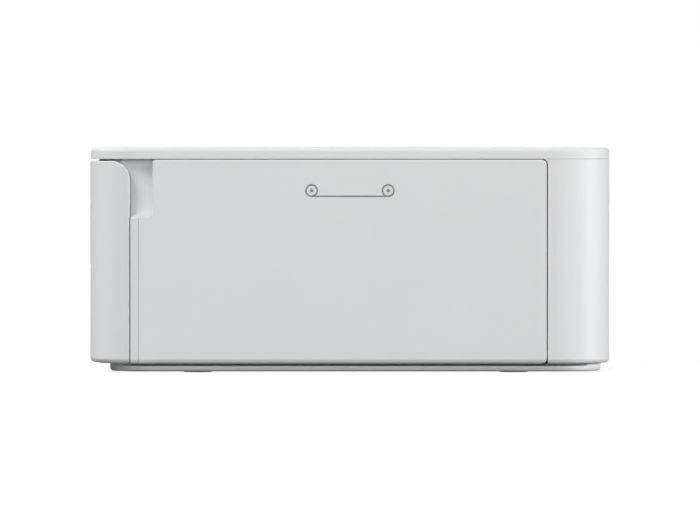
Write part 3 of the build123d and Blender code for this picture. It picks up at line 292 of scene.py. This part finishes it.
M = {
    "casing_white": surface("casing_white", (0.80, 0.805, 0.812), (0.775, 0.782, 0.79), 0.50, 0.07, grain=4200,
                            depth=0.00002, bump=0.35, pits=0.5, patch=14, edge=0.00018),
    "base_grey": surface("base_grey", (0.80, 0.81, 0.82), (0.77, 0.78, 0.79), 0.58, 0.06, grain=3600, depth=0.00002,
                         pits=0.4, edge=0.00018),
    "foot_rubber": surface("foot_rubber", (0.10, 0.103, 0.106), (0.08, 0.082, 0.085), 0.82, 0.08, grain=2500,
                           depth=0.00004, bump=0.5, specular=0.3),
    "port_grey": surface("port_grey", (0.70, 0.71, 0.72), (0.67, 0.68, 0.69), 0.52, grain=4000, depth=0.00002, pits=0.4),
    "display_glass": surface("display_glass", (0.012, 0.013, 0.016), (0.016, 0.017, 0.02), 0.16, 0.03, grain=900,
                             depth=0.000002, bump=0.05, specular=0.28, edge=0.0002),
    "display_module": surface("display_module", (0.55, 0.56, 0.58), (0.49, 0.50, 0.52), 0.34, 0.08, metallic=1.0,
                              grain=900, brushed=(1, 12, 1), depth=0.00001),
    "circuit_board": surface("circuit_board", (0.016, 0.10, 0.055), (0.02, 0.125, 0.065), 0.36, 0.1, grain=1500,
                             depth=0.00002, coat=0.3, patch=160),
    "steel": surface("steel", (0.56, 0.57, 0.58), (0.50, 0.51, 0.52), 0.26, 0.08, metallic=1.0, grain=1800,
                     brushed=(8, 1, 1), depth=0.00001),
    "sheet_steel": surface("sheet_steel", (0.52, 0.54, 0.56), (0.44, 0.46, 0.48), 0.36, 0.1, metallic=1.0, grain=700,
                           depth=0.00001, patch=260),
    "nylon": surface("nylon", (0.82, 0.80, 0.74), (0.77, 0.75, 0.69), 0.42, grain=2500, depth=0.00002),
    "brass": surface("brass", (0.78, 0.57, 0.22), (0.68, 0.48, 0.18), 0.26, 0.08, metallic=1.0, grain=1600,
                     brushed=(8, 1, 1), depth=0.00001),
    "motor_case": surface("motor_case", (0.50, 0.51, 0.53), (0.42, 0.43, 0.45), 0.3, 0.08, metallic=1.0, grain=900,
                          brushed=(1, 6, 6), depth=0.00001),
    "roller_rubber": surface("roller_rubber", (0.035, 0.035, 0.037), (0.05, 0.05, 0.052), 0.75, 0.08, grain=2400,
                             depth=0.00004, bump=0.5, specular=0.35),
    "heat_sink_aluminium": surface("heat_sink_aluminium", (0.70, 0.71, 0.72), (0.62, 0.63, 0.64), 0.34, 0.08,
                                   metallic=1.0, grain=900, brushed=(1, 14, 14), depth=0.00001),
    "head_ceramic": surface("head_ceramic", (0.72, 0.70, 0.66), (0.66, 0.64, 0.60), 0.28, grain=2000, depth=0.00001,
                            coat=0.4),
    "inner_black": surface("inner_black", (0.030, 0.030, 0.032), (0.042, 0.042, 0.045), 0.55, grain=3200,
                           depth=0.00003, pits=0.4),
    "inner_grey": surface("inner_grey", (0.30, 0.31, 0.32), (0.27, 0.28, 0.29), 0.55, grain=3200, depth=0.00003,
                          pits=0.4),
    "lever_blue": surface("lever_blue", (0.05, 0.17, 0.42), (0.06, 0.20, 0.47), 0.45, grain=3000, depth=0.00002,
                          worn=(0.20, 0.34, 0.56)),
    "cassette_grey": surface("cassette_grey", (0.42, 0.43, 0.45), (0.38, 0.39, 0.41), 0.5, grain=3000, depth=0.00003,
                             pits=0.4, worn=(0.55, 0.56, 0.57)),
    "spool_white": surface("spool_white", (0.80, 0.79, 0.76), (0.75, 0.74, 0.71), 0.45, grain=2600, depth=0.00002),
    "ribbon_film": surface("ribbon_film", (0.40, 0.08, 0.16), (0.45, 0.10, 0.19), 0.22, grain=400, depth=0.000004,
                           coat=0.5),
    "key_grey": surface("key_grey", (0.70, 0.71, 0.72), (0.67, 0.68, 0.69), 0.42, grain=4200, depth=0.000015,
                        pits=0.4, edge=0.00015, worn=(0.80, 0.81, 0.82)),
    "key_print": surface("key_print", (0.62, 0.63, 0.645), (0.59, 0.60, 0.615), 0.40, grain=4200, depth=0.000015,
                         pits=0.4, edge=0.00015, worn=(0.76, 0.77, 0.78)),
    "key_power": surface("key_power", (0.70, 0.71, 0.72), (0.67, 0.68, 0.69), 0.42, grain=4200, depth=0.000015,
                         pits=0.4, edge=0.00015, worn=(0.80, 0.81, 0.82)),
}
SLOT_OF = {s["node"]: s["material_slot"] for s in frame["record"]["subparts"]}
for name, ob in NODES.items():
    ob.data.materials.clear()
    ob.data.materials.append(M[SLOT_OF[name]])

ink_grey = surface("ink_grey", (0.34, 0.35, 0.36), (0.31, 0.32, 0.33), 0.5, grain=4000, depth=0.00001)
ink_dark = surface("ink_dark", (0.10, 0.105, 0.11), (0.085, 0.09, 0.095), 0.5, grain=4000, depth=0.00001)


# ------------------------------------------------------------------ small pieces
def finish_mesh(name, bm, material, body, smooth=True):
    me = bpy.data.meshes.new(name)
    bmesh.ops.recalc_face_normals(bm, faces=bm.faces)
    bm.to_mesh(me)
    bm.free()
    me.materials.append(material)
    ob = bpy.data.objects.new(name, me)
    SCENE.collection.objects.link(ob)
    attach(ob, body)
    return ob


def slab(bm, outline, holes, origin, u, v, thick):
    """A thin plate: outline in the u, v plane through origin, thick along u x v, in mm."""
    u, v = Vector(u), Vector(v)
    w = u.cross(v)
    o = Vector(origin)

    def ring(points, k):
        return [bm.verts.new((o + u * a + v * b + w * k) * MM) for a, b in points]

    def close(lo, hi):
        n = len(lo)
        for i in range(n):
            bm.faces.new((lo[i], lo[(i + 1) % n], hi[(i + 1) % n], hi[i]))

    if not holes:
        lo, hi = ring(outline, 0.0), ring(outline, thick)
        close(lo, hi)
        bm.faces.new(lo[::-1])
        bm.faces.new(hi)
    else:                              # one hole with as many points as the outline
        lo, hi = ring(outline, 0.0), ring(outline, thick)
        hl, hh = ring(holes, 0.0), ring(holes, thick)
        close(lo, hi)
        close(hh, hl)
        n = len(outline)
        for i in range(n):
            j = (i + 1) % n
            bm.faces.new((hi[i], hi[j], hh[j], hh[i]))
            bm.faces.new((lo[j], lo[i], hl[i], hl[j]))


def circle(cx, cy, r, n=48, a0=0.0, a1=2 * math.pi):
    full = abs(a1 - a0 - 2 * math.pi) < 1e-6
    m = n if full else n + 1
    return [(cx + r * math.cos(a0 + (a1 - a0) * k / n), cy + r * math.sin(a0 + (a1 - a0) * k / n)) for k in range(m)]


def arc_band(cx, cy, r0, r1, a0, a1, n=40):
    return circle(cx, cy, r1, n, a0, a1) + circle(cx, cy, r0, n, a0, a1)[::-1]


def bar(x0, y0, x1, y1, w):
    d = Vector((x1 - x0, y1 - y0)).normalized()
    px, py = -d.y * w / 2, d.x * w / 2
    return [(x0 + px, y0 + py), (x0 - px, y0 - py), (x1 - px, y1 - py), (x1 + px, y1 + py)]


def rounded(cx, cy, w, h, r, n=8):
    """A rectangle with rounded corners, 4 * (n + 1) points."""
    pts = []
    for sx, sy, a0 in ((1, 1, 0), (-1, 1, 90), (-1, -1, 180), (1, -1, 270)):
        for k in range(n + 1):
            a = math.radians(a0 + 90 * k / n)
            pts.append((cx + sx * (w / 2 - r) + r * math.cos(a), cy + sy * (h / 2 - r) + r * math.sin(a)))
    return pts


def plates(bm, *boxes):
    """Thin rectangular plates, each given by its six planes in mm."""
    for x0, x1, y0, y1, z0, z1 in boxes:
        slab(bm, [(x0, y0), (x1, y0), (x1, y1), (x0, y1)], None, (0, 0, z0), TOP_U, TOP_V, z1 - z0)


def lathe(bm, profile, origin, u, v, n=32):
    """A closed body of revolution; profile holds (radius, distance along u x v), in mm."""
    u, v, o = Vector(u), Vector(v), Vector(origin)
    w = u.cross(v)
    rings = []
    for r, t in profile:
        rings.append([bm.verts.new((o + u * (r * math.cos(2 * math.pi * k / n)) + v * (r * math.sin(2 * math.pi * k / n)) + w * t) * MM)
                      for k in range(n)])
    for lo, hi in zip(rings, rings[1:]):
        for k in range(n):
            j = (k + 1) % n
            bm.faces.new((lo[k], lo[j], hi[j], hi[k]))
    bm.faces.new(rings[0][::-1])
    bm.faces.new(rings[-1])


TOP_U, TOP_V = (1, 0, 0), (0, 1, 0)
SIDE_U, SIDE_V = (0, 1, 0), (0, 0, 1)
REAR_U, REAR_V = (0, 0, 1), (1, 0, 0)

# pictogram on the ink door, lying in its shallow recess
bm = bmesh.new()
for cy in (-9.75, 9.75):
    slab(bm, circle(cy, 46.5, 1.63), circle(cy, 46.5, 1.27), (90.752, 0, 0), SIDE_U, SIDE_V, 0.10)
    slab(bm, circle(cy, 46.5, 0.43, 32), None, (90.752, 0, 0), SIDE_U, SIDE_V, 0.10)
slab(bm, [(-9.7, 44.865), (9.7, 44.865), (9.7, 45.185), (-9.7, 45.185)], None, (90.752, 0, 0), SIDE_U, SIDE_V, 0.08)
door_mark = finish_mesh("door_pictogram", bm, ink_grey, "ink_door")

# printed symbols on the keys
Z_KEY = 57.49
PAD = (54.0, 12.0)


def on_key(name, key, shapes, material=ink_dark):
    bm = bmesh.new()
    for s in shapes:
        slab(bm, s, None, (0, 0, Z_KEY), TOP_U, TOP_V, 0.035)
    return finish_mesh(name, bm, material, key)


for key, ang in (("right_key", 0), ("up_key", 90), ("left_key", 180), ("down_key", 270)):
    a = math.radians(ang)
    cx, cy = PAD[0] + 12.4 * math.cos(a), PAD[1] + 12.4 * math.sin(a)
    tri = [(1.5, 0.0), (-0.9, 1.55), (-0.9, -1.55)]
    on_key(key + "_arrow", key, [[(cx + x * math.cos(a) - y * math.sin(a), cy + x * math.sin(a) + y * math.cos(a)) for x, y in tri]])
on_key("copies_minus_sign", "copies_minus_key", [bar(36.2, -14.5, 39.8, -14.5, 0.6)])
on_key("copies_plus_sign", "copies_plus_key", [bar(68.2, -14.5, 71.8, -14.5, 0.6), bar(70.0, -12.7, 70.0, -14.2, 0.6), bar(70.0, -14.8, 70.0, -16.3, 0.6)])
on_key("power_sign", "power_key", [arc_band(72.0, 42.0, 1.35, 1.8, math.radians(125), math.radians(415)), bar(72.0, 42.3, 72.0, 44.2, 0.45)])
on_key("ok_ring", "ok_key", [arc_band(PAD[0], PAD[1], 1.3, 1.75, math.radians(0), math.radians(359.9), 60)])
on_key("back_sign", "back_key", [arc_band(37.3, -34.9, 1.15, 1.65, math.radians(-90), math.radians(90)),
                                 bar(37.3, -36.3, 35.4, -36.3, 0.5), [(35.9, -33.5 + 1.35), (35.9, -33.5 - 1.35), (34.2, -33.5)],
                                 bar(37.3, -33.5, 35.8, -33.5, 0.5)])
on_key("menu_sign", "menu_key", [bar(33.2, 43.3, 36.8, 43.3, 0.45), bar(33.2, 42.0, 36.8, 42.0, 0.45), bar(33.2, 40.7, 36.8, 40.7, 0.45)])
on_key("edit_sign", "edit_key", [bar(48.4, 43.4, 51.2, 43.4, 0.4), bar(48.4, 40.6, 51.2, 40.6, 0.4), bar(48.4, 43.4, 48.4, 40.6, 0.4), bar(51.2, 43.4, 51.2, 40.6, 0.4)])
on_key("print_sign", "print_key", [bar(60.2, -33.4, 65.8, -33.4, 0.55), bar(60.2, -36.6, 65.8, -36.6, 0.55), bar(60.2, -33.4, 60.2, -36.6, 0.55),
                                   bar(65.8, -33.4, 65.8, -36.6, 0.55), bar(61.4, -33.0, 61.4, -31.2, 0.5), bar(64.6, -33.0, 64.6, -31.2, 0.5), bar(61.2, -31.2, 64.8, -31.2, 0.5)], ink_grey)

# the display's picture area, seen through its glass
screen = surface("display_screen", (0.028, 0.030, 0.036), (0.024, 0.026, 0.031), 0.20, 0.03, grain=1200, depth=0.000001,
                 specular=0.30)
bm = bmesh.new()
slab(bm, [(-68.5, -26.0), (12.5, -26.0), (12.5, 30.0), (-68.5, 30.0)], None, (0, 0, 57.515), TOP_U, TOP_V, 0.012)
finish_mesh("display_picture_area", bm, screen, "chassis")

# ------------------------------------------------------------------ connectors
gold = surface("contact_gold", (0.83, 0.62, 0.24), (0.76, 0.55, 0.20), 0.24, 0.06, metallic=1.0, grain=1800, depth=0.000005)
bm = bmesh.new()
slab(bm, rounded(-38.5, 23.15, 8.12, 2.42, 1.19), rounded(-38.5, 23.15, 7.84, 2.14, 1.05), (-88.55, 0, 0), SIDE_U, SIDE_V, 5.4)
finish_mesh("usb_c_shell", bm, M["steel"], "chassis")
bm = bmesh.new()
slab(bm, rounded(-38.5, 23.15, 8.78, 3.36, 0.05), rounded(-38.5, 23.15, 8.10, 2.40, 1.18), (-88.68, 0, 0), SIDE_U, SIDE_V, 0.36)
finish_mesh("usb_c_face", bm, M["inner_black"], "chassis")
bm = bmesh.new()
slab(bm, rounded(-38.5, 23.2, 6.14, 0.68, 0.3), None, (-87.9, 0, 0), SIDE_U, SIDE_V, 5.0)
finish_mesh("usb_c_tongue", bm, M["inner_black"], "chassis")
bm = bmesh.new()
for k in range(12):
    y = -38.5 + 0.45 * (k - 5.5)
    plates(bm, (-87.6, -84.4, y - 0.13, y + 0.13, 23.53, 23.56), (-87.6, -84.4, y - 0.13, y + 0.13, 22.84, 22.87))
finish_mesh("usb_c_contacts", bm, gold, "chassis")
bm = bmesh.new()
plates(bm, (-88.3, -81.3, -43.05, -34.0, 24.72, 24.88), (-88.3, -81.3, -43.05, -42.93, 21.35, 24.72),
       (-88.3, -81.3, -34.07, -33.95, 21.35, 24.72), (-81.37, -81.2, -43.05, -33.95, 21.35, 24.72))
finish_mesh("usb_c_can", bm, M["steel"], "chassis")
# memory card socket: pressed cover, dark lining and nine sprung contacts
bm = bmesh.new()
plates(bm, (-88.4, -86.0, -31.15, -4.25, 25.32, 25.47), (-86.0, -72.6, -31.15, -20.6, 25.32, 25.47),
       (-86.0, -72.6, -14.8, -4.25, 25.32, 25.47), (-72.6, -69.9, -31.15, -4.25, 25.32, 25.47),
       (-88.4, -69.9, -31.17, -31.03, 21.35, 25.4), (-88.4, -69.9, -4.37, -4.23, 21.35, 25.4), (-69.98, -69.85, -31.1, -4.3, 21.35, 25.4),
       (-84.6, -74.2, -18.4, -17.0, 25.32, 25.44))
finish_mesh("card_socket_cover", bm, M["sheet_steel"], "chassis")
bm = bmesh.new()
plates(bm, (-88.55, -72.0, -29.98, -5.22, 22.41, 22.45), (-88.55, -72.0, -29.98, -5.22, 24.55, 24.59),
       (-88.55, -72.0, -29.99, -29.95, 22.45, 24.55), (-88.55, -72.0, -5.25, -5.21, 22.45, 24.55), (-72.06, -72.01, -29.95, -5.25, 22.45, 24.55),
       (-88.64, -88.60, -31.0, -4.4, 21.3, 22.38), (-88.64, -88.60, -31.0, -4.4, 24.62, 25.3),
       (-88.64, -88.60, -31.0, -30.02, 22.38, 24.62), (-88.64, -88.60, -5.18, -4.4, 22.38, 24.62))
finish_mesh("card_socket_lining", bm, M["inner_black"], "chassis")
bm = bmesh.new()
for k in range(9):
    y = -27.6 + 2.5 * k
    slab(bm, [(-81.5, 22.46), (-76.8, 22.46), (-74.6, 23.05), (-73.4, 22.85), (-73.4, 22.95), (-74.6, 23.17), (-76.8, 22.58), (-81.5, 22.58)],
         None, (0, y + 0.55, 0), (1, 0, 0), (0, 0, 1), 1.1)
finish_mesh("card_contacts", bm, gold, "chassis")
# DC inlet: plated sleeve and centre pin
bm = bmesh.new()
slab(bm, circle(13.5, -72.0, 2.73, 40), circle(13.5, -72.0, 2.52, 40), (0, 55.0, 0), REAR_U, REAR_V, 8.95)
finish_mesh("dc_sleeve", bm, M["steel"], "chassis")
bm = bmesh.new()
lathe(bm, [(0.95, 54.7), (0.95, 62.7), (0.86, 63.2), (0.6, 63.6), (0.2, 63.78)], (-72.0, 0, 13.5), REAR_U, REAR_V)
finish_mesh("dc_pin", bm, gold, "chassis")

# ------------------------------------------------------------------ ink cassette and ribbon
bm = bmesh.new()
slab(bm, rounded(4.0, 35.0, 53.0, 17.0, 8.45, 12), rounded(4.0, 35.0, 51.6, 15.6, 7.75, 12), (63.98, 0, 0), SIDE_U, SIDE_V, 0.27)
for cy in (-14.0, 22.0):
    slab(bm, circle(cy, 35.0, 3.6, 40), circle(cy, 35.0, 2.95, 40), (63.98, 0, 0), SIDE_U, SIDE_V, 0.42)
for k in range(6):
    y = -2.1 + 2.44 * k
    slab(bm, rounded(y, 34.9, 0.9, 4.8, 0.3, 4), None, (70.58, 0, 0), SIDE_U, SIDE_V, 0.3)
finish_mesh("cassette_mouldings", bm, M["cassette_grey"], "ink_cassette")
bm = bmesh.new()
slab(bm, [(26.9, 40.2), (29.6, 35.0), (26.9, 29.8), (26.2, 30.2), (28.7, 35.0), (26.2, 39.8)], None, (64.0, 0, 0), SIDE_U, SIDE_V, 0.06)
finish_mesh("cassette_chevron", bm, M["spool_white"], "ink_cassette")
film_roll = surface("ribbon_roll", (0.22, 0.035, 0.08), (0.27, 0.05, 0.11), 0.24, 0.06, grain=900, brushed=(40, 1, 1), depth=0.00001, coat=0.4)
for name, cy, r in (("supply_spool", -14.0, 7.38), ("takeup_spool", 22.0, 5.28)):
    bm = bmesh.new()
    slab(bm, circle(cy, 35.0, r, 64), circle(cy, 35.0, r - 0.6, 64), (-54.6, 0, 0), SIDE_U, SIDE_V, 109.2)
    finish_mesh(name + "_film", bm, film_roll, name)

# ------------------------------------------------------------------ ink bay: mouth rim, guide rails, screws, chevrons
bm = bmesh.new()
slab(bm, rounded(-5.75, 34.3, 83.4, 28.4, 1.6, 6), rounded(-5.75, 34.3, 81.2, 26.2, 0.9, 6), (82.45, 0, 0), SIDE_U, SIDE_V, 0.5)
slab(bm, rounded(0.55, 28.0, 96.4, 49.8, 2.4, 6), rounded(0.55, 28.0, 95.2, 48.6, 1.8, 6), (82.45, 0, 0), SIDE_U, SIDE_V, 0.3)
for z in (24.6, 44.0):
    for x0, x1 in ((64.3, 80.3),):
        plates(bm, (x0, x1, 33.9, 34.7, z - 0.5, z + 0.5), (x0, x1, -46.2, -45.4, z - 0.5, z + 0.5))
for y in (-40.0, -24.0, -8.0, 8.0, 24.0):
    slab(bm, rounded(y, 12.0, 9.0, 9.6, 1.2, 5), rounded(y, 12.0, 8.0, 8.6, 0.7, 5), (82.45, 0, 0), SIDE_U, SIDE_V, 0.28)
finish_mesh("ink_bay_mouldings", bm, M["inner_grey"], "chassis")
bm = bmesh.new()
for cy, cz in ((43.2, 46.6), (43.2, 10.4)):
    ring = [(2.1, 82.5), (2.1, 83.0), (1.7, 83.25), (1.0, 83.34), (0.35, 83.34), (0.30, 82.9)]
    lathe(bm, ring, (0, cy, cz), SIDE_U, SIDE_V, 28)
finish_mesh("ink_bay_screws", bm, M["steel"], "chassis")
bm = bmesh.new()
for k in range(3):
    y = 38.6 + 2.6 * k
    slab(bm, [(y + 0.9, 30.4), (y - 1.1, 28.4), (y + 0.9, 26.4), (y + 0.9, 27.3), (y - 0.2, 28.4), (y + 0.9, 29.5)], None, (82.5, 0, 0), SIDE_U, SIDE_V, 0.05)
finish_mesh("ink_bay_chevrons", bm, M["spool_white"], "chassis")

# ------------------------------------------------------------------ circuit boards: parts on their lands
chip = surface("chip_black", (0.022, 0.022, 0.024), (0.03, 0.03, 0.032), 0.42, 0.08, grain=2600, depth=0.00001)
ceramic = surface("chip_ceramic", (0.52, 0.40, 0.27), (0.46, 0.35, 0.23), 0.4, grain=2600, depth=0.00001)
solder = surface("solder", (0.66, 0.67, 0.68), (0.58, 0.59, 0.60), 0.3, 0.1, metallic=1.0, grain=900, depth=0.00002)


def chip_with_legs(name, x0, x1, y0, y1, z0, z1, pitch=0.8, body="chassis"):
    """A flat package with bevelled top and gull wing legs on its four sides, over the CAD's block."""
    bm = bmesh.new()
    slab(bm, [(x0 - 0.05, y0 - 0.05), (x1 + 0.05, y0 - 0.05), (x1 + 0.05, y1 + 0.05), (x0 - 0.05, y1 + 0.05)], None, (0, 0, z0 + 0.12), TOP_U, TOP_V, z1 - z0 - 0.30)
    slab(bm, [(x0 + 0.2, y0 + 0.2), (x1 - 0.2, y0 + 0.2), (x1 - 0.2, y1 - 0.2), (x0 + 0.2, y1 - 0.2)], None, (0, 0, z1 - 0.18), TOP_U, TOP_V, 0.22)
    slab(bm, circle(x0 + 1.4, y0 + 1.4, 0.5, 20), None, (0, 0, z1 + 0.02), TOP_U, TOP_V, 0.04)
    finish_mesh(name + "_package", bm, chip, body)
    bm = bmesh.new()
    w = pitch * 0.22
    n = int((x1 - x0 - 1.2) / pitch)
    for k in range(n + 1):
        x = (x0 + x1) / 2 + pitch * (k - n / 2)
        for y, d in ((y0, -1), (y1, 1)):
            a, b = sorted((y, y + d * 1.1))
            plates(bm, (x - w, x + w, a, b, z0 + 0.02, z0 + 0.14))
    n = int((y1 - y0 - 1.2) / pitch)
    for k in range(n + 1):
        y = (y0 + y1) / 2 + pitch * (k - n / 2)
        for x, d in ((x0, -1), (x1, 1)):
            a, b = sorted((x, x + d * 1.1))
            plates(bm, (a, b, y - w, y + w, z0 + 0.02, z0 + 0.14))
    finish_mesh(name + "_legs", bm, solder, body)


chip_with_legs("processor", -18, 2, 26, 46, 6.6, 8.4)
chip_with_legs("memory", 12, 24, 30, 44, 6.6, 7.8)
bm = bmesh.new()
bs = bmesh.new()
for i, (x, y) in enumerate([(-26, 30), (-26, 33), (-26, 36), (-26, 39), (-22, 48.5), (-14, 49.5), (-10, 49.5), (-6, 49.5), (4.6, 26.5), (4.6, 30), (4.6, 40),
                            (4.6, 43.5), (8.5, 33), (8.5, 38), (26.5, 29.5), (26.5, 34), (26.5, 40), (26.5, 44), (15, 48.5), (19, 48.5), (39.5, 30),
                            (39.5, 34), (39.5, 38), (44, 40), (47, 40), (47, 36), (-34.5, 34), (-34.5, 40), (-34.5, 46), (-12, 22.5), (-4, 22.5), (10, 22.5)]):
    wx, wy = (0.5, 0.9) if i % 3 else (0.9, 0.5)
    plates(bm, (x - wx, x + wx, y - wy, y + wy, 6.6, 7.35))
    if wx < wy:
        plates(bs, (x - wx - 0.02, x + wx + 0.02, y - wy - 0.12, y - wy + 0.28, 6.6, 7.4), (x - wx - 0.02, x + wx + 0.02, y + wy - 0.28, y + wy + 0.12, 6.6, 7.4))
    else:
        plates(bs, (x - wx - 0.12, x - wx + 0.28, y - wy - 0.02, y + wy + 0.02, 6.6, 7.4), (x + wx - 0.28, x + wx + 0.12, y - wy - 0.02, y + wy + 0.02, 6.6, 7.4))
finish_mesh("main_board_passives", bm, ceramic, "chassis")
finish_mesh("main_board_solder", bs, solder, "chassis")
bm = bmesh.new()
for x in (-30.0, -24.0, 42.0):
    lathe(bm, [(2.66, 6.62), (2.66, 7.2), (2.5, 7.4), (2.5, 7.6), (2.66, 7.8), (2.66, 12.7), (2.45, 13.05), (2.2, 13.12)], (x, 52.0, 0), TOP_U, TOP_V, 32)
finish_mesh("main_board_capacitors", bm, M["motor_case"], "chassis")
bm = bmesh.new()
for k in range(24):
    x = -28.75 + 2.5 * k
    plates(bm, (x - 0.32, x + 0.32, 15.2, 16.05, 6.62, 6.9), (x - 0.3, x + 0.3, 17.2, 17.8, 9.55, 9.75))
finish_mesh("head_connector_pins", bm, solder, "chassis")

# ------------------------------------------------------------------ paper feed: friction pad
pad_mat = surface("friction_pad", (0.34, 0.23, 0.13), (0.24, 0.16, 0.09), 0.85, 0.08, grain=900, depth=0.00008, bump=0.6, patch=420,
                  specular=0.3)
bm = bmesh.new()
slab(bm, rounded(0.0, -33.2, 26.0, 5.2, 0.8, 6), None, (0, 0, 4.48), TOP_U, TOP_V, 0.42)
finish_mesh("lift_plate_pad", bm, pad_mat, "lift_plate")
